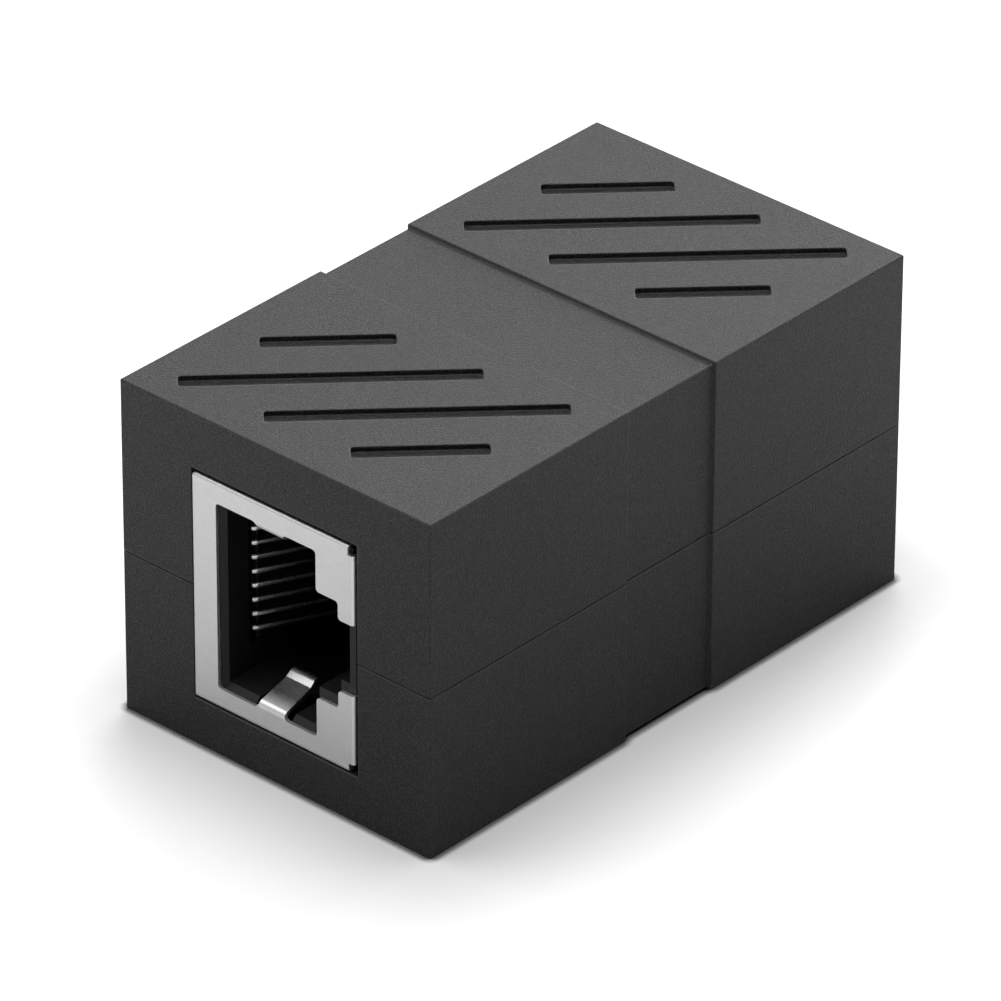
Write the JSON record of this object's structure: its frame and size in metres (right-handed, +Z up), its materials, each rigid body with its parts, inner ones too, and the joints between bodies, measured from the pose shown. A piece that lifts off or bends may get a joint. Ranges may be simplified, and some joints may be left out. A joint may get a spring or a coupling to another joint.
{
  "type": "rj45 inline coupler",
  "caption": "Small rectangular inline coupler with a shielded modular network socket in each end, a recessed waist band and diagonal grooves in the top.",
  "frame": {"origin": "middle of the flat underside", "axes": "+Y along the length, the front socket opens towards -Y and the rear one towards +Y; +Z up; the contacts lie on the -X side and the latch steps on the +X side of both sockets"},
  "size_m": [0.0254, 0.0436, 0.0236],
  "materials": {
    "casing_plastic": "fine matte texture",
    "shield_metal": "satin nickel plate",
    "housing_plastic": "semi-matte moulded",
    "insert_plastic": "semi-matte moulded",
    "contact_metal": "bright thin pale plating",
    "board": "green solder resist"
  },
  "bodies": {
    "root": {"lower_shell": "casing_plastic", "upper_shell": "casing_plastic", "circuit_board": "board", "front_jack_shield": "shield_metal", "front_jack_housing": "housing_plastic", "front_contact_insert": "insert_plastic", "rear_jack_shield": "shield_metal", "rear_jack_housing": "housing_plastic", "rear_contact_insert": "insert_plastic", "front_contact_1": "contact_metal", "front_contact_2": "contact_metal", "front_contact_3": "contact_metal", "front_contact_4": "contact_metal", "front_contact_5": "contact_metal", "front_contact_6": "contact_metal", "front_contact_7": "contact_metal", "front_contact_8": "contact_metal", "rear_contact_1": "contact_metal", "rear_contact_2": "contact_metal", "rear_contact_3": "contact_metal", "rear_contact_4": "contact_metal", "rear_contact_5": "contact_metal", "rear_contact_6": "contact_metal", "rear_contact_7": "contact_metal", "rear_contact_8": "contact_metal"}
  },
  "joints": []
}
